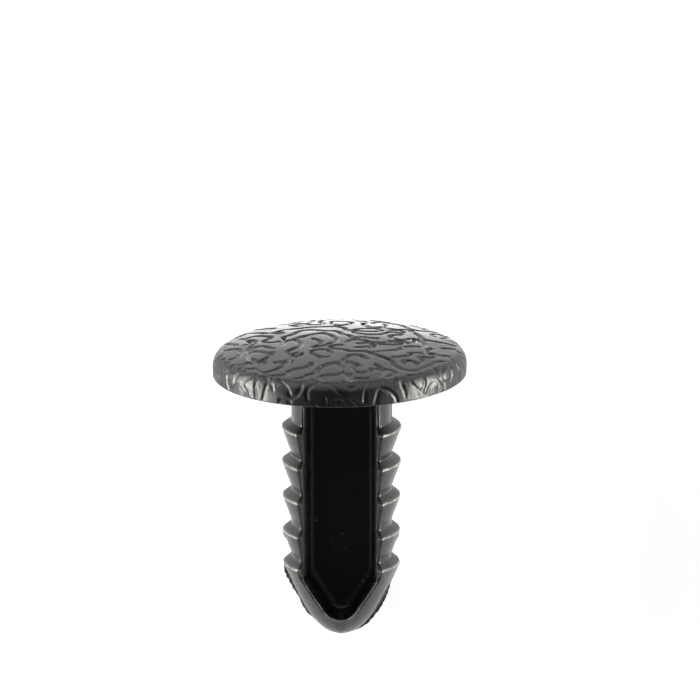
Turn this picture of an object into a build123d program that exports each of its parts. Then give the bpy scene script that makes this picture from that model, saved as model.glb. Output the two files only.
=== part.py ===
"""Push-in canoe clip: one black nylon moulding.

A low domed head, a stem with five barbed rings and a bullet nose. Two deep
pockets, one from the front and one from the back, leave a thin web on the
middle plane, so that the two barbed flanks can flex inwards in the hole.

Millimetres. The clip is drawn upright about its own axis (head up, underside
of the head at z = 0, pockets open towards -Y and +Y) and is laid down at the
end: the lower edge of the head and the nose on z = 0, the head towards +Y and
one pocket facing up.
"""

import os
from math import radians, sqrt, tan

from build123d import *

# ---- head -------------------------------------------------------------------
head_r = 10.0  # 20 mm head
head_h = 2.90  # underside to crown
crown_r = 45.0  # shallow spherical cap
shoulder_r = 1.20  # round between the upright edge and the cap

# ---- stem -------------------------------------------------------------------
neck_r = 3.94  # goes into an 8 mm hole
root_r = 3.95  # foot of each barb
lip_z = [4.25, 7.05, 9.85, 12.66, 15.32]  # middle of each lip, below the head
lip_r = [4.69, 4.66, 4.62, 4.59, 4.56]
lip_land = 0.20  # upright edge of each barb
barb_rise = 0.44  # the upper face falls this much from root to lip
barb_cone = 20.2  # lower cone, degrees from the axis

# ---- nose: radius and depth below the head --------------------------------------
nose = [(4.17, 16.20), (3.80, 17.03), (3.42, 17.86), (2.98, 18.72),
        (2.40, 19.64), (1.82, 20.32), (1.10, 20.88)]
nose_end = 21.19

# ---- pockets ----------------------------------------------------------------
web_half = 0.40  # the web is 0.8 mm thick
pocket_half_w = 2.50  # walls, where they would meet the web
pocket_flare = 10.0  # draft of the walls
pocket_foot = 16.00  # depth below the head where the V begins
pocket_v = 32.0  # half angle of the V
pocket_v_r = 1.00  # round at the bottom of the V
pocket_foot_r = 0.60  # round where the walls turn into the V
pocket_corner_r = 0.50  # round between web and walls

# ---- flats on the flanks, beside the mouth of each pocket -------------------------
flat_neck = 2.49  # from the middle plane, at the neck and the roots
flat_lip = [3.22, 3.20, 3.15, 3.12, 3.09]  # at each lip
flat_nose = [(2.82, 16.00), (2.81, 16.50), (2.80, 17.20), (2.66, 18.44),
             (2.50, 19.21), (2.41, 19.62), (2.30, 20.60)]

# ---- lying ------------------------------------------------------------------
lie = 21.15  # axis above the floor, degrees


def head():
    cap_z = head_h - (crown_r - sqrt(crown_r**2 - head_r**2))
    with BuildPart() as p:
        with BuildSketch(Plane.XZ) as s:
            with BuildLine():
                Line((0, 0), (head_r, 0))
                Line((head_r, 0), (head_r, cap_z))
                RadiusArc((head_r, cap_z), (0, head_h), -crown_r)
                Line((0, head_h), (0, 0))
            make_face()
            fillet(s.vertices().sort_by_distance((head_r, cap_z))[0], shoulder_r)
        revolve(axis=Axis.Z)
    return p.part


def barbs():
    """Points (radius, depth) down the barbs, with the cone of each barb ending
    in a short straight root. The last one is the foot of the fifth lip."""
    slope = tan(radians(barb_cone))
    pts = []
    for i, (z, r) in enumerate(zip(lip_z, lip_r)):
        top, foot = z - lip_land / 2, z + lip_land / 2
        pts += [(neck_r if i == 0 else root_r, top - barb_rise), (r, top), (r, foot)]
        if i < len(lip_z) - 1:
            pts.append((root_r, foot + (r - root_r) / slope))
    return pts


def stem():
    pts = [(0, 1.0), (neck_r, 1.0)] + [(r, -z) for r, z in barbs()]
    with BuildPart() as p:
        with BuildSketch(Plane.XZ):
            with BuildLine():
                Polyline(*pts)
                Spline(
                    pts[-1], *[(r, -z) for r, z in nose], (0, -nose_end),
                    tangents=((-0.42, -0.91), (-1, 0)),
                )
                Line((0, -nose_end), (0, 1.0))
            make_face()
        revolve(axis=Axis.Z)
    return p.part


def pocket():
    """The space of one pocket, opening towards -Y and cut off at the head."""
    apex = pocket_foot + pocket_half_w / tan(radians(pocket_v))
    top = 4.0
    floor = Plane(origin=(0, -web_half, 0), x_dir=(1, 0, 0), z_dir=(0, -1, 0))
    with BuildPart() as p:
        with BuildSketch(floor) as s:
            with BuildLine():
                Polyline(
                    (-pocket_half_w, top), (-pocket_half_w, -pocket_foot),
                    (0, -apex), (pocket_half_w, -pocket_foot),
                    (pocket_half_w, top), close=True,
                )
            make_face()
            fillet(s.vertices().sort_by(Axis.Y)[1:3], pocket_foot_r)
            fillet(s.vertices().sort_by(Axis.Y)[0], pocket_v_r)
        extrude(amount=6.0, taper=-pocket_flare)
        fillet(
            p.faces().sort_by(Axis.Y)[-1].edges().filter_by(
                lambda e: e.center().Z < top - 0.1
            ),
            pocket_corner_r,
        )
    return p.part & Pos(0, 0, -20) * Box(40, 40, 40)


def flats():
    """What lies in front of the flats of one side, over the whole width."""
    pts = []
    for (r, z), i in zip(barbs(), range(99)):
        at_lip = i % 4 in (1, 2)
        pts.append((-(flat_lip[i // 4] if at_lip else flat_neck), -z))
    with BuildPart() as p:
        with BuildSketch(Plane.YZ):
            with BuildLine():
                Polyline((-8, 1.0), (-flat_neck, 1.0), *pts)
                Spline(pts[-1], *[(-d, -z) for d, z in flat_nose])
                d, z = flat_nose[-1]
                Polyline((-d, -z), (-8, -z), (-8, 1.0))
            make_face()
        extrude(amount=8.0, both=True)
    return p.part


def clip():
    space, front = pocket(), flats()
    body = stem() - front - front.mirror(Plane.XZ)
    body = body - space - space.mirror(Plane.XZ)
    return body + head()


def laid(shape):
    """Turns the upright clip down until the head's edge and the nose touch z = 0."""
    shape = shape.rotate(Axis.X, -(90 - lie))
    box = shape.bounding_box()
    mid = (box.min + box.max) / 2
    return shape.translate((-mid.X, -mid.Y, -box.min.Z))


if __name__ == "__main__":
    part = laid(clip())
    part.label = "clip"
    os.makedirs("parts", exist_ok=True)
    export_step(part, "parts/clip.step")
    box = part.bounding_box()
    print("clip", [round(v, 3) for v in box.size], "volume", round(part.volume, 1),
          "valid", part.is_valid, "solids", len(part.solids()))
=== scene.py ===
"""Looks of the canoe clip: the grained head, the barbed stem with its two
pockets and the bullet nose, all one black nylon moulding.

The mesh is worked out upright in millimetres (head up, underside of the head
at z = 0, pockets towards -Y and +Y) and laid down at the end, as the model is.
Depths are counted downwards from the underside of the head.
"""

import math

import bpy
import numpy as np
from mathutils import Matrix, Vector, geometry


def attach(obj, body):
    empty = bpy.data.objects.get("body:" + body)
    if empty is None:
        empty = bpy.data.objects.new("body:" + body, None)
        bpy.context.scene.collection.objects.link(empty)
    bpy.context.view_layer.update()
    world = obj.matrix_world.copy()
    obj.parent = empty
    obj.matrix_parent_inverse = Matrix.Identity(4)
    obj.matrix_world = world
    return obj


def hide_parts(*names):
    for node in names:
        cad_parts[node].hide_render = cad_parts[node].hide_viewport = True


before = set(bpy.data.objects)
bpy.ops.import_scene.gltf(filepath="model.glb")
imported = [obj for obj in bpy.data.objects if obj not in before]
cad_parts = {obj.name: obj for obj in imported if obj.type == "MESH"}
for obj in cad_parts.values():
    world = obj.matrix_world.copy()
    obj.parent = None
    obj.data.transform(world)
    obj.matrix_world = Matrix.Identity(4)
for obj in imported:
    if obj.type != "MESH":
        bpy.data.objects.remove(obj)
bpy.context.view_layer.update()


# ---- sizes, in millimetres, the same as the model's --------------------------------
HEAD_R, HEAD_H, CROWN_R, SHOULDER_R = 10.0, 2.90, 45.0, 1.20
RIM_R = 0.12  # small round along the lower edge of the head
HEAD_OFF = -0.13  # the head sits a hair off the stem's axis
HEAD_TILT = 0.0125  # and a hair askew, its -X side lower
NECK_R, ROOT_R = 3.94, 3.95
LIP_Z = [4.25, 7.05, 9.85, 12.66, 15.32]
LIP_R = [4.69, 4.66, 4.62, 4.59, 4.56]
LIP_LAND, BARB_RISE, BARB_CONE = 0.20, 0.44, math.radians(20.2)
NOSE = [(4.17, 16.20), (3.80, 17.03), (3.42, 17.86), (2.98, 18.72),
        (2.40, 19.64), (1.82, 20.32), (1.10, 20.88), (0.0, 21.19)]
WEB, POCKET_W, FLARE = 0.40, 2.50, math.tan(math.radians(10.0))
POCKET_FOOT, POCKET_V = 16.00, math.radians(32.0)
POCKET_V_R, POCKET_FOOT_R, CORNER_R = 1.00, 0.60, 0.50
FLAT_NECK = 2.49
FLAT_LIP = [3.22, 3.20, 3.15, 3.12, 3.09]
FLAT_NOSE = [(2.82, 16.00), (2.81, 16.50), (2.80, 17.20), (2.66, 18.44),
             (2.50, 19.21), (2.41, 19.62), (2.30, 20.60)]
LIE = math.radians(21.15)

# upright millimetres to the row frame in metres
TURN = np.array([[1.0, 0.0, 0.0],
                 [0.0, math.sin(LIE), math.cos(LIE)],
                 [0.0, -math.cos(LIE), math.sin(LIE)]])
SHIFT = np.array([0.13, 7.389, 9.3285])


def laid(p):
    return (np.asarray(p) @ TURN.T + SHIFT) * 0.001


# ---- curves ---------------------------------------------------------------------------
def spline(pts, start=None, end=None, n=60):
    """Smooth curve through the points, n samples a span; start and end are
    directions."""
    p = np.array(pts, float)
    h = np.linalg.norm(np.diff(p, axis=0), axis=1)
    m = len(p)
    a = np.zeros((m, m))
    b = np.zeros_like(p)
    for i in range(1, m - 1):
        a[i, i - 1], a[i, i], a[i, i + 1] = h[i], 2 * (h[i - 1] + h[i]), h[i - 1]
        b[i] = 3 * (h[i] * (p[i] - p[i - 1]) / h[i - 1] + h[i - 1] * (p[i + 1] - p[i]) / h[i])
    for i, j, way in ((0, 1, start), (m - 1, m - 2, end)):
        if way is None:
            k = min(i, j)
            a[i, i], a[i, j], b[i] = 2, 1, 3 * (p[k + 1] - p[k]) / h[k]
        else:
            a[i, i], b[i] = 1, np.array(way) / np.linalg.norm(way)
    d = np.linalg.solve(a, b)
    out = []
    for k in range(m - 1):
        t = np.linspace(0, 1, n, endpoint=k == m - 2)[:, None]
        out.append((2 * t**3 - 3 * t**2 + 1) * p[k] + (t**3 - 2 * t**2 + t) * h[k] * d[k]
                   + (3 * t**2 - 2 * t**3) * p[k + 1] + (t**3 - t**2) * h[k] * d[k + 1])
    return np.concatenate(out)


def arc_length(p):
    return np.concatenate([[0], np.cumsum(np.linalg.norm(np.diff(p, axis=0), axis=1))])


def rounded(pts, cut, steps):
    """The polyline with each corner replaced by a small round; cut and steps
    are given a corner."""
    p = np.array(pts, float)
    out = [p[0]]
    for i in range(1, len(p) - 1):
        before, after = p[i - 1] - p[i], p[i + 1] - p[i]
        lb, la = np.linalg.norm(before), np.linalg.norm(after)
        c = min(cut[i], 0.45 * lb, 0.45 * la)
        a, b = p[i] + before * c / lb, p[i] + after * c / la
        for t in np.linspace(0, 1, steps[i] + 1):
            out.append((1 - t) ** 2 * a + 2 * t * (1 - t) * p[i] + t * t * b)
    out.append(p[-1])
    return np.array(out)


def divided(p, longest):
    out = [p[0]]
    for a, b in zip(p[:-1], p[1:]):
        n = max(1, int(math.ceil(np.linalg.norm(b - a) / longest - 1e-9)))
        out += [a + (b - a) * k / n for k in range(1, n + 1)]
    return np.array(out)


# ---- the stem's profile: (depth, radius, distance of the flats) -------------------------
corners, cut, steps = [(0.0, NECK_R, FLAT_NECK)], [0], [0]
for i, (z, r) in enumerate(zip(LIP_Z, LIP_R)):
    top, foot = z - LIP_LAND / 2, z + LIP_LAND / 2
    corners += [(top - BARB_RISE, NECK_R if i == 0 else ROOT_R, FLAT_NECK),
                (top, r, FLAT_LIP[i]), (foot, r, FLAT_LIP[i])]
    cut += [0.08, 0.06, 0.08]
    steps += [2, 3, 3]
    if i < 4:
        corners.append((foot + (r - ROOT_R) / math.tan(BARB_CONE), ROOT_R, FLAT_NECK))
        cut.append(0.10)
        steps.append(2)
last = corners[-1]
nose = spline([(last[1], last[0])] + NOSE, (-0.42, 0.91), (-1, 0))  # (radius, depth)
nose[:, 0] = np.maximum(nose[:, 0], 0)
flat = spline([(last[2], last[0])] + FLAT_NOSE)
nose_s = arc_length(nose)


def nose_row(s):
    """The profile at a length s along the nose."""
    z, r = np.interp(s, nose_s, nose[:, 1]), np.interp(s, nose_s, nose[:, 0])
    return z, r, np.interp(z, flat[:, 1], flat[:, 0])


corners.append(nose_row(0.25))
barbs = divided(rounded(corners, cut + [0], steps + [0]), 0.30)
profile = np.array(list(barbs) + [nose_row(s) for s in np.linspace(0.25, nose_s[-1], 400)[1:]])


def radius(z):
    return np.interp(z, profile[:, 0], profile[:, 1])


def flats(z):
    return np.interp(z, profile[:, 0], profile[:, 2])


# ---- the pocket's outline: where its walls would meet the web ----------------------------
MOUTH = 0.06  # small round along the mouth of the pocket
TIP_Z = POCKET_FOOT + POCKET_W / math.tan(POCKET_V) - POCKET_V_R / math.sin(POCKET_V)
foot_t = POCKET_FOOT_R * math.tan(POCKET_V / 2)
foot_c = (POCKET_W - POCKET_FOOT_R, POCKET_FOOT - foot_t)
outline, normal = [], []
for z in np.linspace(0, POCKET_FOOT - foot_t, 800, endpoint=False):
    outline.append((POCKET_W, z))
    normal.append((1.0, 0.0))
for a in np.linspace(0, POCKET_V, 40, endpoint=False):
    outline.append((foot_c[0] + POCKET_FOOT_R * math.cos(a), foot_c[1] + POCKET_FOOT_R * math.sin(a)))
    normal.append((math.cos(a), math.sin(a)))
v_from = np.array([foot_c[0] + POCKET_FOOT_R * math.cos(POCKET_V), foot_c[1] + POCKET_FOOT_R * math.sin(POCKET_V)])
v_to = np.array([POCKET_V_R * math.cos(POCKET_V), TIP_Z + POCKET_V_R * math.sin(POCKET_V)])
for t in np.linspace(0, 1, 300, endpoint=False):
    outline.append(tuple(v_from + (v_to - v_from) * t))
    normal.append((math.cos(POCKET_V), math.sin(POCKET_V)))
v_last = len(outline)
for a in np.linspace(POCKET_V, math.pi / 2, 201):
    outline.append((POCKET_V_R * math.cos(a), TIP_Z + POCKET_V_R * math.sin(a)))
    normal.append((math.cos(a), math.sin(a)))
outline, normal = np.array(outline), np.array(normal)
outline[-1, 0] = normal[-1, 0] = 0.0
depth = np.full(len(outline), 2.6)
for _ in range(40):
    depth = flats(outline[:, 1] + (depth - WEB) * FLARE * normal[:, 1])
mouth_z = outline[:, 1] + ((depth - WEB) * FLARE + MOUTH) * normal[:, 1]

# ---- one quarter of the stem -------------------------------------------------------------
WEB_N, WALL_N, FLAT_N, SIDE_N = 9, 5, 5, 12
# painted shade: a thin dark fin along each side, in the plane of the web, standing out beside the barbs and the nose
# where there is only shade: (depth, how far it stands out) on each side
SHADE_FIN = {
    -1: [(0, 0.008), (12.4, 0.012), (12.8, 0.05), (13.1, 0.12), (13.35, 0.15), (13.5, 0.02),
         (15.4, 0.02), (15.6, 0.06), (15.9, 0.22), (16.3, 0.34), (16.7, 0.35), (17.1, 0.29),
         (17.6, 0.27), (18.0, 0.20), (18.4, 0.15), (18.8, 0.23), (19.3, 0.26), (19.7, 0.24),
         (19.95, 0.10), (20.5, 0.10), (21.0, 0.05), (21.19, 0.0)],
    1: [(0, 0.03), (3.6, 0.04), (3.9, 0.01), (12.9, 0.015), (13.1, 0.06), (13.4, 0.08),
        (13.6, 0.02), (15.5, 0.03), (16.0, 0.07), (17.0, 0.07), (17.4, 0.17), (17.8, 0.24),
        (18.2, 0.29), (18.8, 0.31), (19.2, 0.34), (19.6, 0.30), (20.0, 0.31), (20.4, 0.33),
        (20.75, 0.28), (20.95, 0.16), (21.1, 0.06), (21.19, 0.0)],
}
# how much less the lips stand out behind than in front, on each side
LESS = {(-1, 1): 0.36, (1, 1): 0.14, (-1, -1): 0.0, (1, -1): 0.0}


def section(z, r, y, k, side, back):
    """Points of one row, from the middle of the web to the side. k is the place
    on the pocket's outline, or None below the pocket; side is -1 or 1, and back
    is 1 behind the web and -1 in front of it."""
    out = []
    if k is not None:
        c = np.array([np.interp(k, np.arange(len(outline)), outline[:, i]) for i in (0, 1)])
        n = np.array([np.interp(k, np.arange(len(outline)), normal[:, i]) for i in (0, 1)])
        n /= np.linalg.norm(n)
        d = float(np.interp(k, np.arange(len(outline)), depth))

        def wall(o, d):
            q = c + o * n
            return np.array([max(q[0], 0.0), d, q[1]])

        first = wall(-0.4195, WEB)
        lift = max(0.0, c[1] - POCKET_FOOT + foot_t) * 0.06
        spine = np.array([0.0, WEB, first[2] - lift * (first[0] / POCKET_W) * 2.0])
        out += [spine + (first - spine) * t for t in np.linspace(0, 1, WEB_N)[:-1]]
        out += [wall(-0.4195 + CORNER_R * math.sin(t), WEB + CORNER_R - CORNER_R * math.cos(t))
                for t in np.radians(np.linspace(0, 80, 7))]
        top = (d - WEB) * FLARE
        d0 = out[-1][1]
        d1 = d - MOUTH
        out += [wall((t - WEB) * FLARE, t) for t in np.linspace(d0, d1, WALL_N)[1:]]
        a, b, m = out[-1], np.array([0.0, 0.0, 0.0]), wall(top, d)
        q = c + (top + MOUTH) * n
        b = np.array([max(q[0], 0.0), float(flats(q[1])), q[1]])
        out += [(1 - t) ** 2 * a + 2 * t * (1 - t) * m + t * t * b for t in (0.3, 0.55, 0.8, 1.0)]
        inner = b
    else:
        out += [None] * (WEB_N - 1 + 7 + WALL_N - 1 + 3)
        inner = np.array([0.0, min(y, r), z])
        out.append(inner)
    full = r - max(r - ROOT_R, 0.0) * LESS[side, back]
    x = math.sqrt(max(full * full - y * y, 0.0))
    edge = min(0.06, 0.3 * max(x - inner[0], 0.0))
    for t in np.linspace(0, 1, FLAT_N)[1:]:
        px = inner[0] + (x - edge - inner[0]) * t
        out.append(np.array([px, min(y, full), z]))

    def arc(p):
        q = min(p / math.radians(30), 1.0)
        rad = r - (r - full) * q * q * (3 - 2 * q)
        return np.array([rad * math.cos(p), rad * math.sin(p), z])

    a = out[-1]
    phi = math.atan2(min(y, full), x)
    turn = edge / max(r, 1e-6)
    b = arc(phi - turn)
    m = np.array([x, min(y, full), z])
    out += [(1 - t) ** 2 * a + 2 * t * (1 - t) * m + t * t * b for t in (0.35, 0.65)]
    half = min(0.085, 0.35 * r)
    near = math.asin(half / r) if r > 1e-6 else 0.0
    out += [arc(p) for p in np.linspace(phi - turn, near, SIDE_N)]
    # the painted-shade fin: a dark sheet standing out from the side, in the plane of the web
    shade_fin = np.interp(z, *zip(*SHADE_FIN[side]))
    shade_fin *= 1 + 0.10 * math.sin(13 * z + side) + 0.07 * math.sin(31 * z + 2 * side)
    shade_fin = shade_fin if r > 1e-6 else 0.0
    out += [np.array([r + shade_fin * t, half * w, z]) for t, w in ((0.80, 0.80), (1.0, 0.5), (1.0, 0.0))]
    return out


rows = [(z, r, y, float(np.interp(z, mouth_z, np.arange(len(outline))))) for z, r, y in barbs]
z_round = mouth_z[v_last]
s = 0.25
while True:
    s += 0.15
    z, r, y = nose_row(s)
    if z > z_round - 0.05:
        break
    rows.append((z, r, y, float(np.interp(z, mouth_z, np.arange(len(outline))))))
for k in np.linspace(v_last, len(outline) - 1, 13):
    z = float(np.interp(k, np.arange(len(outline)), mouth_z))
    rows.append((z, float(radius(z)), float(flats(z)), float(k)))
pocket_rows = len(rows)
z_end = rows[-1][0]
meet = z_end + 0.5 * np.linspace(0, 1, 5001)
meet = float(meet[np.argmax(flats(meet) >= radius(meet))])
for t in (0.3, 0.6, 0.85, 1.0):
    z = z_end + (meet - z_end) * t
    rows.append((z, float(radius(z)), float(flats(z)) if t < 1 else float(radius(z)), None))
s_meet = float(np.interp(meet, nose[:, 1], nose_s))
for s in np.linspace(s_meet, nose_s[-1], 20)[1:]:
    z, r, y = nose_row(s)
    rows.append((float(z), float(r) if s < nose_s[-1] else 0.0, float(r) if s < nose_s[-1] else 0.0, None))

inside = WEB_N - 1 + 7 + WALL_N - 1 + 3
parts, top_row = [], {}
for sx in (1, -1):
    for sy in (1, -1):
        quarter = [section(*row, sx, sy) for row in rows]
        top_row[sx, sy] = np.array(quarter[0])[:, :2] * (sx, sy)
        q = np.array([[quarter[i][j], quarter[i + 1][j], quarter[i + 1][j + 1], quarter[i][j + 1]]
                      for i in range(len(quarter) - 1)
                      for j in range(0 if i < pocket_rows - 1 else inside, len(quarter[0]) - 1)])
        q = q * np.array([sx, sy, -1])
        parts.append(q if sx * sy < 0 else q[:, ::-1])
stem = np.concatenate(parts)

# ---- the head: grain ---------------------------------------------------------------------
GRAIN_DEPTH = 0.17
MAP_N, MAP_SIZE = 1024, 28.0


def band_noise(seed, pitch, spread):
    """Random waves of about one pitch, in millimetres, on the map."""
    rng = np.random.default_rng(seed)
    f = np.fft.fftfreq(MAP_N, MAP_SIZE / MAP_N)
    k = np.hypot(*np.meshgrid(f, f, indexing="ij"))
    w = np.exp(-0.5 * ((k * pitch - 1) / spread) ** 2)
    n = np.fft.ifft2(np.fft.fft2(rng.standard_normal((MAP_N, MAP_N))) * w).real
    return n / n.std()


def smooth(x):
    x = np.clip(x, 0, 1)
    return x * x * (3 - 2 * x)


# long narrow grooves that wind along the level lines of slow waves
patch = smooth(0.5 + 0.9 * (band_noise(17, 6.0, 0.5) - 0.3))
slow = (1 - patch) * band_noise(11, 2.8, 0.16) + patch * band_noise(12, 2.1, 0.16)
slow /= np.sqrt((1 - patch) ** 2 + patch**2)


def grooves(field, half, slope, breaks):
    """1 on the tops and 0 along the level lines of the field, broken here and there."""
    gx, gy = np.gradient(field, MAP_SIZE / MAP_N)
    line = np.abs(field) / np.sqrt(gx**2 + gy**2 + 0.35)  # about how far it is to the line
    ends = smooth((band_noise(41, 2.6, 0.4) + breaks) / 0.4)
    return 1 - ends * (1 - smooth((line - half) / slope))


grain_map = grooves(slow, 0.06, 0.22, 1.5)
edge_map = grooves(band_noise(53, 1.9, 0.25), 0.04, 0.20, 1.2)
wave_map = band_noise(23, 5.0, 0.5)
fine_map = band_noise(31, 0.34, 0.35)


def sample(m, u, v):
    x = (u / MAP_SIZE + 0.5) * MAP_N
    y = (v / MAP_SIZE + 0.5) * MAP_N
    i, j = np.floor(x).astype(int), np.floor(y).astype(int)
    fx, fy = x - i, y - j
    i0, i1, j0, j1 = i % MAP_N, (i + 1) % MAP_N, j % MAP_N, (j + 1) % MAP_N
    return (m[i0, j0] * (1 - fx) * (1 - fy) + m[i1, j0] * fx * (1 - fy)
            + m[i0, j1] * (1 - fx) * fy + m[i1, j1] * fx * fy)


# the head's profile from the crown outwards: (radius, height), and its normal
crown_c = HEAD_H - CROWN_R
alpha = math.asin((HEAD_R - SHOULDER_R) / (CROWN_R - SHOULDER_R))
sh_z = crown_c + (CROWN_R - SHOULDER_R) * math.cos(alpha)
prof, prof_n = [], []
for a in np.linspace(0, alpha, 400, endpoint=False):
    prof.append((CROWN_R * math.sin(a), crown_c + CROWN_R * math.cos(a)))
    prof_n.append((math.sin(a), math.cos(a)))
crown_end = len(prof)
for a in np.linspace(alpha, math.pi / 2, 120, endpoint=False):
    prof.append((HEAD_R - SHOULDER_R + SHOULDER_R * math.sin(a), sh_z + SHOULDER_R * math.cos(a)))
    prof_n.append((math.sin(a), math.cos(a)))
for z in np.linspace(sh_z, RIM_R, 60, endpoint=False):
    prof.append((HEAD_R, z))
    prof_n.append((1.0, 0.0))
for a in np.linspace(0, math.pi / 2, 30):
    prof.append((HEAD_R - RIM_R + RIM_R * math.cos(a), RIM_R - RIM_R * math.sin(a)))
    prof_n.append((math.cos(a), -math.sin(a)))
prof, prof_n = np.array(prof), np.array(prof_n)
prof[-1, 1] = 0.0
prof_s = arc_length(prof)
crown_s, rim_s = prof_s[crown_end], prof_s[-1]


def head_point(s, phi):
    """Points of the head at a length s from the crown and a bearing phi, with
    the grain cut inwards; also how high each lies in the grain."""
    r, z = np.interp(s, prof_s, prof[:, 0]), np.interp(s, prof_s, prof[:, 1])
    nr, nz = np.interp(s, prof_s, prof_n[:, 0]), np.interp(s, prof_s, prof_n[:, 1])
    # the map is wrapped over the shoulder without stretching the grain too much
    flat_s = np.minimum(s, 9.6) + 0.9 * np.maximum(s - 9.6, 0)
    u, v = flat_s * np.cos(phi), flat_s * np.sin(phi)
    to_edge = smooth((s - 8.9) / 0.6)
    g = sample(grain_map, u, v) * (1 - to_edge) + sample(edge_map, u, v) * to_edge
    fade = smooth((rim_s - s) / 0.22)
    # shallower over the shoulder and the edge
    sink = GRAIN_DEPTH * (1 - 0.50 * smooth((s - 7.2) / 1.2) - 0.14 * smooth((s - 9.0) / 0.5)) * (1 - g) + 0.006 * (1 + 0.6 * sample(fine_map, u, v)) \
        + 0.012 * (1.6 + np.clip(sample(wave_map, u, v), -1.6, 1.6))
    d = -np.maximum(sink, 0) * fade
    r, z = r + nr * d, z + nz * d
    return np.stack([r * np.cos(phi) + HEAD_OFF, r * np.sin(phi), z], -1), g


RINGS = 96
side = np.linspace(-1, 1, 2 * RINGS + 1)
ga, gb = np.meshgrid(side, side, indexing="ij")
big = np.abs(ga) > np.abs(gb)
rad = np.where(big, ga, gb)
with np.errstate(divide="ignore", invalid="ignore"):
    ang = np.where(big, math.pi / 4 * gb / ga, math.pi / 2 - math.pi / 4 * ga / gb)
ang = np.where((ga == 0) & (gb == 0), 0.0, ang)
ang = np.where(rad < 0, ang + math.pi, ang)
rad = np.abs(rad)
disc_p, disc_g = head_point(rad * crown_s, ang)
m = 2 * RINGS + 1
idx = np.arange(m * m).reshape(m, m)
disc_faces = np.stack([idx[:-1, :-1], idx[1:, :-1], idx[1:, 1:], idx[:-1, 1:]], -1).reshape(-1, 4)
disc = disc_p.reshape(-1, 3)[disc_faces]

# rows from the end of the crown to the underside
rim = np.concatenate([idx[-1, RINGS:-1], idx[:0:-1, -1], idx[0, :0:-1], idx[:-1, 0], idx[-1, :RINGS]])
rim_ang = ang.reshape(-1)[rim]
s_rows = np.concatenate([np.linspace(crown_s, prof_s[-30], 27), np.linspace(prof_s[-30], rim_s, 4)[1:]])
skirt = np.array([head_point(np.full(len(rim), s), rim_ang)[0] for s in s_rows])
skirt[0] = disc_p.reshape(-1, 3)[rim]
nxt = np.roll(np.arange(len(rim)), -1)
band = np.stack([skirt[:-1], skirt[1:], skirt[1:][:, nxt], skirt[:-1][:, nxt]], 2).reshape(-1, 4, 3)

# the underside, from the rim to the top row of the stem
inner_loop = np.concatenate([top_row[1, -1], top_row[1, 1][::-1][1:], top_row[-1, 1][1:],
                             top_row[-1, -1][::-1][1:-1]])
outer_loop = skirt[-1][:, :2]
pts = [outer_loop, inner_loop]
for r, n in ((9.4, 256), (8.4, 160), (7.0, 112), (5.6, 80), (4.7, 64)):
    t = np.arange(n) * 2 * math.pi / n
    pts.append(np.stack([r * np.cos(t), r * np.sin(t)], -1))
pts = np.concatenate(pts)
n_out, n_in = len(outer_loop), len(inner_loop)
loops = [(i, (i + 1) % n_out) for i in range(n_out)] + \
        [(n_out + i, n_out + (i + 1) % n_in) for i in range(n_in)]
cdt = geometry.delaunay_2d_cdt([Vector(p) for p in pts.tolist()], loops, [], 0, 1e-6, True)
place = np.array([pts[o[0]] for o in cdt[3]])
tris = np.array([f for f in cdt[2]])
mid = place[tris].mean(1)
loop_a, loop_b = inner_loop, np.roll(inner_loop, -1, 0)
with np.errstate(divide="ignore", invalid="ignore"):
    crosses = ((loop_a[:, 1] > mid[:, None, 1]) != (loop_b[:, 1] > mid[:, None, 1])) & (
        mid[:, None, 0] < (loop_b[:, 0] - loop_a[:, 0]) * (mid[:, None, 1] - loop_a[:, 1])
        / (loop_b[:, 1] - loop_a[:, 1]) + loop_a[:, 0])
keep = (crosses.sum(1) % 2 == 0) & (np.hypot(mid[:, 0], mid[:, 1]) < HEAD_R)
under = place[tris[keep]]
flat_area = np.cross(under[:, 1] - under[:, 0], under[:, 2] - under[:, 0])
under = np.where((flat_area > 0)[:, None, None], under[:, ::-1], under)
under = np.concatenate([under, np.zeros(under.shape[:2] + (1,))], -1)
under = np.concatenate([under, under[:, 2:]], 1)  # triangles as four corners, the last one twice

# ---- one closed mesh -----------------------------------------------------------------------
quads = np.concatenate([disc, band, under, stem])
quads[..., 2] += np.where(quads[..., 2] > -1e-6, HEAD_TILT * quads[..., 0], 0.0)
key = np.round(quads.reshape(-1, 3) / 2e-4).astype(np.int64)
_, first, index = np.unique(key, axis=0, return_index=True, return_inverse=True)
verts = quads.reshape(-1, 3)[first]
faces = []
for f in index.reshape(-1, 4).tolist():
    g = [v for i, v in enumerate(f) if v != f[i - 1]]
    if len(set(g)) == len(g) and len(g) > 2:
        faces.append(g)

mesh = bpy.data.meshes.new("clip_body")
mesh.from_pydata(laid(verts).tolist(), [], faces)
mesh.validate()
mesh.update()
body = bpy.data.objects.new("clip_body", mesh)
bpy.context.scene.collection.objects.link(body)

# shading normals weighted by area, so that flat faces stay flat beside their small rounds
co = laid(verts)
norm = np.zeros_like(co)
tri = np.array([(f[0], f[i], f[i + 1]) for f in faces for i in range(1, len(f) - 1)])
cross = np.cross(co[tri[:, 1]] - co[tri[:, 0]], co[tri[:, 2]] - co[tri[:, 0]])
for i in range(3):
    np.add.at(norm, tri[:, i], cross)
norm /= np.maximum(np.linalg.norm(norm, axis=1, keepdims=True), 1e-20)
for p in mesh.polygons:
    p.use_smooth = True
mesh.normals_split_custom_set_from_vertices(norm.tolist())

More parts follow.
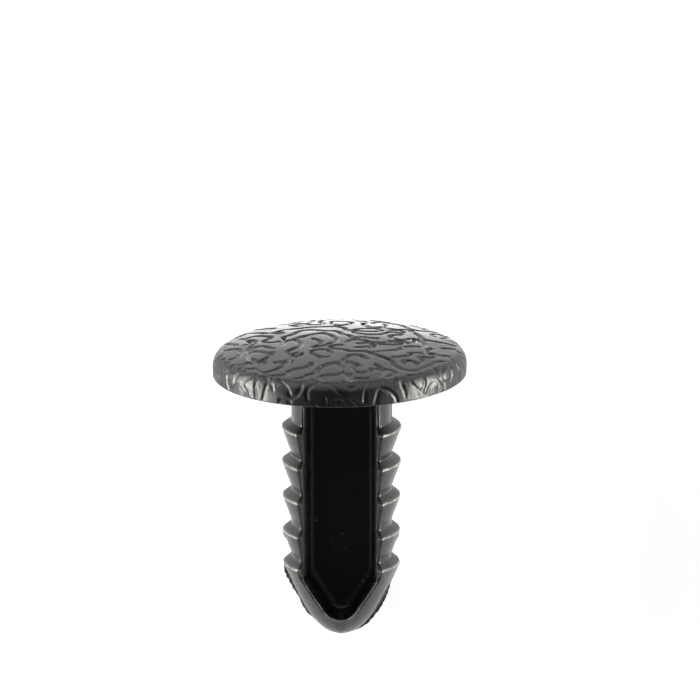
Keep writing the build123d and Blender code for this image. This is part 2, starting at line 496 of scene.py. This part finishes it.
# where the etched and the plain faces of the mould are: the head's grain, and the pockets
ax, ay, az = np.abs(verts[:, 0]), np.abs(verts[:, 1]), -verts[:, 2]
in_pocket = (ay < flats(az) + np.where(az < 15.5, 0.02, -0.03)) & (az > 1e-4) & (ax < np.interp(az, outline[:, 1], outline[:, 0])
                                                    + (ay - WEB) * FLARE + np.where(az < 15.5, 0.07, 0.01))
edge_mask = smooth((np.hypot(verts[:, 0] - HEAD_OFF, verts[:, 1]) - 9.0) / 0.7) * (verts[:, 2] - HEAD_TILT * verts[:, 0] > 1e-4)
# mask for the painted highlight: the lip lands and the mouth of the pocket's V near the nose
lip_glint = np.zeros(len(verts))
for z, r in zip(LIP_Z, LIP_R):
    near = smooth(1 - np.abs(az - z + 0.02) / 0.17) * (np.hypot(verts[:, 0], verts[:, 1]) > 4.2) * ~in_pocket
    lip_glint = np.maximum(lip_glint, near)
mouth_x = outline[:, 0] + ((depth - WEB) * FLARE + MOUTH) * normal[:, 0]
v_edge = np.interp(ax, mouth_x[::-1], mouth_z[::-1])
v_near = smooth(1.2 - np.abs(az - v_edge) / 0.10) * (az > 16.0) * (np.abs(ay - flats(az)) < 0.03)
lip_glint = np.maximum(lip_glint, v_near)
# the barbs' upper faces under the lips: rougher, and given painted shade below as fewer pale specks
above = np.zeros(len(verts))
for z in LIP_Z:
    above = np.maximum(above, (az > z - LIP_LAND / 2 - BARB_RISE + 0.02) & (az < z - LIP_LAND / 2 - 0.02) & ~in_pocket)
for name, where in (("edge", edge_mask), ("lip_glint", lip_glint), ("above", above), ("grained", verts[:, 2] - HEAD_TILT * verts[:, 0] > 1e-4), ("pocket", in_pocket * np.where(ay < WEB + 0.12, 1.0, 0.5))):
    mask = mesh.attributes.new(name, "FLOAT", "POINT")
    mask.data.foreach_set("value", np.asarray(where, np.float32))


# ---- materials -----------------------------------------------------------------------------
def nylon():
    m = bpy.data.materials.new("black_nylon")
    m.use_nodes = True
    t = m.node_tree
    t.nodes.clear()
    out = t.nodes.new("ShaderNodeOutputMaterial")
    b = t.nodes.new("ShaderNodeBsdfPrincipled")
    t.links.new(b.outputs[0], out.inputs[0])
    b.inputs["IOR"].default_value = 1.50
    b.inputs["Specular IOR Level"].default_value = 0.5
    tc = t.nodes.new("ShaderNodeTexCoord")

    def noise(scale, detail, rough=0.5, dist=0.0):
        n = t.nodes.new("ShaderNodeTexNoise")
        n.inputs["Scale"].default_value = scale
        n.inputs["Detail"].default_value = detail
        n.inputs["Roughness"].default_value = rough
        n.inputs["Distortion"].default_value = dist
        t.links.new(tc.outputs["Object"], n.inputs["Vector"])
        return n.outputs["Fac"]

    def mapped(src, lo, hi, a, b_):
        n = t.nodes.new("ShaderNodeMapRange")
        for k, v in zip((1, 2, 3, 4), (lo, hi, a, b_)):
            n.inputs[k].default_value = v
        t.links.new(src, n.inputs[0])
        return n.outputs[0]

    def math_node(op, a, b_):
        n = t.nodes.new("ShaderNodeMath")
        n.operation = op
        for k, v in enumerate((a, b_)):
            if isinstance(v, (int, float)):
                n.inputs[k].default_value = v
            else:
                t.links.new(v, n.inputs[k])
        return n.outputs[0]

    def attribute(name):
        n = t.nodes.new("ShaderNodeAttribute")
        n.attribute_name = name
        return n.outputs["Fac"]

    g, pocket = attribute("grained"), attribute("pocket")
    # colour: very dark, cloudy, with a few pale specks of dust
    ramp = t.nodes.new("ShaderNodeValToRGB")
    ramp.color_ramp.elements[0].position = 0.35
    ramp.color_ramp.elements[0].color = (0.0019, 0.0019, 0.0020, 1)
    ramp.color_ramp.elements[1].position = 0.70
    ramp.color_ramp.elements[1].color = (0.0034, 0.0034, 0.0033, 1)
    # painted light: the pockets are pushed up this ramp to its lightest stop, an even tone lighter than the rest of
    # the nylon, standing in for light reaching the recess
    black = ramp.color_ramp.elements.new(0.95)
    black.color = (0.0200, 0.0200, 0.0197, 1)
    pocket_fill_light = math_node("MULTIPLY", pocket, 0.6)
    t.links.new(math_node("ADD", noise(900, 4), pocket_fill_light), ramp.inputs["Fac"])
    bare = mapped(pocket, 0.0, 0.3, 1.0, 0.0)
    dust_thinned_in_shade = math_node("MULTIPLY", bare, mapped(g, 0, 1, 0.8, 0.15))
    # painted shade: far fewer pale specks on the barbs' upper faces, darkening them as the shade under the lips does
    dust_thinned_in_shade = math_node("MULTIPLY", dust_thinned_in_shade, mapped(attribute("above"), 0, 1, 1.0, 0.30))
    specks_and_ring_glint = math_node("ADD", mapped(noise(4200, 1), 0.79, 0.81, 0.0, 0.8),
                       math_node("MULTIPLY", mapped(noise(4600, 2, 0.7), 0.50, 0.86, 0.0, 0.34), dust_thinned_in_shade))
    # three pale specks on the web, and the faint broken ring an ejector pin leaves, painted pale: a painted highlight
    # standing in for the glints along the ring's edge
    def near(x, y, z):
        n = t.nodes.new("ShaderNodeVectorMath")
        n.operation = "DISTANCE"
        t.links.new(tc.outputs["Object"], n.inputs[0])
        n.inputs[1].default_value = laid([x, y, -z]).tolist()
        return n.outputs["Value"]

    away = near(0.0, -WEB, 13.55)
    pin_ring_glint = math_node("MULTIPLY", mapped(away, 0.00058, 0.00066, 0.0, 1.0), mapped(away, 0.00066, 0.00074, 1.0, 0.0))
    pin_ring_glint = math_node("MULTIPLY", pin_ring_glint, mapped(noise(1500, 1), 0.48, 0.60, 0.0, 0.22))
    specks_and_ring_glint = math_node("ADD", specks_and_ring_glint, pin_ring_glint)
    for x, z, size in ((-1.95, 11.9, 0.00007), (1.72, 16.85, 0.00009), (0.1, 13.0, 0.00006)):
        specks_and_ring_glint = math_node("ADD", specks_and_ring_glint, mapped(near(x, -WEB, z), size, size * 1.4, 0.6, 0.0))
    # pale dust specks, and the painted highlight of the pin ring, in one colour
    mix = t.nodes.new("ShaderNodeMix")
    mix.data_type = "RGBA"
    t.links.new(specks_and_ring_glint, mix.inputs["Factor"])
    t.links.new(ramp.outputs["Color"], mix.inputs["A"])
    mix.inputs["B"].default_value = (0.16, 0.155, 0.14, 1)
    # painted highlight: the lip lands and the mouth of the pocket's V near the nose are painted pale, unevenly,
    # standing in for the glint along these edges
    lip_glint = math_node("MULTIPLY", attribute("lip_glint"), mapped(noise(2200, 3, 0.6), 0.32, 0.62, 0.25, 1.0))
    lip_glint_mix = t.nodes.new("ShaderNodeMix")
    lip_glint_mix.data_type = "RGBA"
    t.links.new(lip_glint, lip_glint_mix.inputs["Factor"])
    t.links.new(mix.outputs["Result"], lip_glint_mix.inputs["A"])
    lip_glint_mix.inputs["B"].default_value = (0.21, 0.21, 0.20, 1)
    t.links.new(lip_glint_mix.outputs["Result"], b.inputs["Base Color"])
    # gloss: satin on the grained head, a little glossier on the stem
    wall = mapped(pocket, 0.0, 0.5, 0.0, 0.26)
    web = mapped(pocket, 0.5, 1.0, 0.0, -0.24)
    base = math_node("ADD", mapped(g, 0, 1, 0.21, 0.15), math_node("ADD", wall, web))
    base = math_node("ADD", base, math_node("MULTIPLY", attribute("above"), 0.22))
    base = math_node("ADD", base, math_node("MULTIPLY", attribute("edge"), 0.21))
    cloud = math_node("MULTIPLY", mapped(noise(1400, 5), 0.3, 0.7, -0.04, 0.05),
                      mapped(pocket, 0, 1, 1.0, 0.2))
    t.links.new(math_node("ADD", base, cloud), b.inputs["Roughness"])
    # fine relief: grit of the etched mould on the head, faint flow on the stem
    bump = t.nodes.new("ShaderNodeBump")
    bump.inputs["Distance"].default_value = 0.00004
    grit = math_node("ADD", noise(9000, 3, 0.6), math_node("MULTIPLY", noise(3600, 2, 0.6), mapped(g, 0, 1, 3.2, 0.8)))
    amount = math_node("ADD", mapped(g, 0, 1, 0.60, 0.22), mapped(pocket, 0.0, 1.0, 0.0, -0.56))
    height = math_node("MULTIPLY", grit, amount)
    bump.inputs["Strength"].default_value = 0.5
    t.links.new(height, bump.inputs["Height"])
    t.links.new(bump.outputs["Normal"], b.inputs["Normal"])
    return m


def paper():
    m = bpy.data.materials.new("pale_floor")
    m.use_nodes = True
    t = m.node_tree
    b = t.nodes["Principled BSDF"]
    # painted light: the floor's colour is white beside the stem and a little greyer further out, a painted pool of
    # light round the clip
    geo = t.nodes.new("ShaderNodeNewGeometry")
    away = t.nodes.new("ShaderNodeVectorMath")
    away.operation = "DISTANCE"
    away.inputs[1].default_value = (0.0, -0.005, 0.0)
    t.links.new(geo.outputs["Position"], away.inputs[0])
    ramp = t.nodes.new("ShaderNodeMapRange")
    ramp.interpolation_type = "SMOOTHSTEP"
    for k, v in zip((1, 2, 3, 4), (0.012, 0.026, 0.94, 0.66)):
        ramp.inputs[k].default_value = v
    t.links.new(away.outputs["Value"], ramp.inputs[0])
    t.links.new(ramp.outputs[0], b.inputs["Base Color"])
    b.inputs["Roughness"].default_value = 0.9
    b.inputs["Specular IOR Level"].default_value = 0.1
    # lit from below, as a light table is, and brighter still in a spot beside the head: painted light filling in the
    # shadow the head casts on the floor
    b.inputs["Emission Color"].default_value = (1, 1, 1, 1)
    flat_pos = t.nodes.new("ShaderNodeVectorMath")
    flat_pos.operation = "MULTIPLY"
    flat_pos.inputs[1].default_value = (0.30, 1.0, 0.0)
    t.links.new(geo.outputs["Position"], flat_pos.inputs[0])
    close = t.nodes.new("ShaderNodeVectorMath")
    close.operation = "DISTANCE"
    close.inputs[1].default_value = (0.0, 0.0130, 0.0)
    t.links.new(flat_pos.outputs["Vector"], close.inputs[0])
    shadow_fill_glow = t.nodes.new("ShaderNodeMapRange")
    shadow_fill_glow.interpolation_type = "SMOOTHSTEP"
    for k, v in zip((1, 2, 3, 4), (0.0018, 0.0048, 1.7, 0.52)):
        shadow_fill_glow.inputs[k].default_value = v
    t.links.new(close.outputs["Value"], shadow_fill_glow.inputs[0])
    t.links.new(shadow_fill_glow.outputs[0], b.inputs["Emission Strength"])
    return m


mesh.materials.append(nylon())
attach(body, "root")
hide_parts("clip")

# ---- floor ------------------------------------------------------------------------------
fm = bpy.data.meshes.new("floor")
w = 3.0
fm.from_pydata([(-w, -w, 0), (w, -w, 0), (w, w, 0), (-w, w, 0)], [], [(0, 1, 2, 3)])
fm.materials.append(paper())
floor = bpy.data.objects.new("floor", fm)
bpy.context.scene.collection.objects.link(floor)

# ---- camera -------------------------------------------------------------------------------
theta, beta, dist = math.radians(15.7), math.radians(2.3), 2.0
view_dir = np.array([math.sin(beta), -math.cos(theta) * math.cos(beta), math.sin(theta) * math.cos(beta)])
axis = np.array([0.0, 0.0, 1.0])
up = axis - view_dir * (axis @ view_dir)
up /= np.linalg.norm(up)
right = np.cross(-view_dir, up)
aim = laid(right * 0.67 + up * 1.84)
vd, upw, rw = TURN @ view_dir, TURN @ up, TURN @ right
cam_data = bpy.data.cameras.new("camera")
cam = bpy.data.objects.new("camera", cam_data)
bpy.context.scene.collection.objects.link(cam)
rot = Matrix(((rw[0], upw[0], vd[0]), (rw[1], upw[1], vd[1]), (rw[2], upw[2], vd[2])))
cam.matrix_world = Matrix.Translation(Vector(aim + vd * dist)) @ rot.to_4x4()
cam_data.sensor_width = 36.0
cam_data.lens = 36.0 * dist * 1000 / 54.99
cam_data.clip_start, cam_data.clip_end = 0.1, 30.0
bpy.context.scene.camera = cam


# ---- light: a plain studio, as soft panels that fade into each other -------------------------
# (bearing from +X towards +Y, how bright at each height)
HEIGHTS = (3, 12, 32, 58)
PANELS = [
    (0, (74.0, 1.6, 0, 0)),     # low strip on the right
    (45, (0, 1.6, 1.9, 0)),
    (90, (0, 1.6, 1.5, 0.7)),   # behind the head
    (135, (0, 3.4, 2.1, 0)),
    (180, (78.0, 0.8, 0, 0)),   # low strip on the left
    (225, (0, 1.2, 0, 0.2)),
    (270, (2.0, 0.9, 0, 0)),    # in front of the nose, low; dark above
    (315, (0, 0.3, 0.1, 0.3)),
]


def studio():
    world = bpy.data.worlds.new("studio")
    world.use_nodes = True
    t = world.node_tree
    background = t.nodes["Background"]
    tc = t.nodes.new("ShaderNodeTexCoord")
    sep = t.nodes.new("ShaderNodeSeparateXYZ")
    t.links.new(tc.outputs["Generated"], sep.inputs[0])
    x, y, z = sep.outputs

    def m(op, a, b=None):
        n = t.nodes.new("ShaderNodeMath")
        n.operation = op
        for k, v in enumerate((a, b)):
            if isinstance(v, (int, float)):
                n.inputs[k].default_value = v
            elif v is not None:
                t.links.new(v, n.inputs[k])
        return n.outputs[0]

    def ramp(src, a, b, c, d):
        n = t.nodes.new("ShaderNodeMapRange")
        for k, v in zip((1, 2, 3, 4), (a, b, c, d)):
            n.inputs[k].default_value = v
        t.links.new(src, n.inputs[0])
        return n.outputs[0]

    height = m("MULTIPLY", m("ARCSINE", z), 180 / math.pi)
    stops = HEIGHTS + (90,)
    bands = []
    for i in range(4):
        down = ramp(height, stops[i], stops[i + 1], 1, 0)
        bands.append(down if i == 0 else m("MULTIPLY", down, ramp(height, stops[i - 1], stops[i], 0, 1)))
    flat_r = m("SQRT", m("ADD", m("MULTIPLY", x, x), m("MULTIPLY", y, y)))
    total = None
    for bearing, strengths in PANELS:
        along = m("ADD", m("MULTIPLY", x, math.cos(math.radians(bearing))),
                  m("MULTIPLY", y, math.sin(math.radians(bearing))))
        off = m("MULTIPLY", m("ARCCOSINE", m("MINIMUM", m("DIVIDE", along, flat_r), 1.0)), 180 / math.pi)
        column = None
        for band, v in zip(bands, strengths):
            if v:
                part = m("MULTIPLY", band, v)
                column = part if column is None else m("ADD", column, part)
        part = m("MULTIPLY", column, m("MAXIMUM", m("SUBTRACT", 1.0, m("DIVIDE", off, 45.0)), 0.0))
        total = part if total is None else m("ADD", total, part)
    t.links.new(total, background.inputs["Strength"])
    # the sides a little warm, the back a little cool
    tint = t.nodes.new("ShaderNodeMix")
    tint.data_type = "RGBA"
    t.links.new(m("ABSOLUTE", x), tint.inputs["Factor"])
    tint.inputs["A"].default_value = (0.97, 1.0, 1.02, 1)
    tint.inputs["B"].default_value = (1.0, 1.0, 0.95, 1)
    t.links.new(tint.outputs["Result"], background.inputs["Color"])
    return world


bpy.context.scene.world = studio()
bpy.context.scene.view_settings.view_transform = "Standard"
bpy.context.scene.view_settings.look = "None"
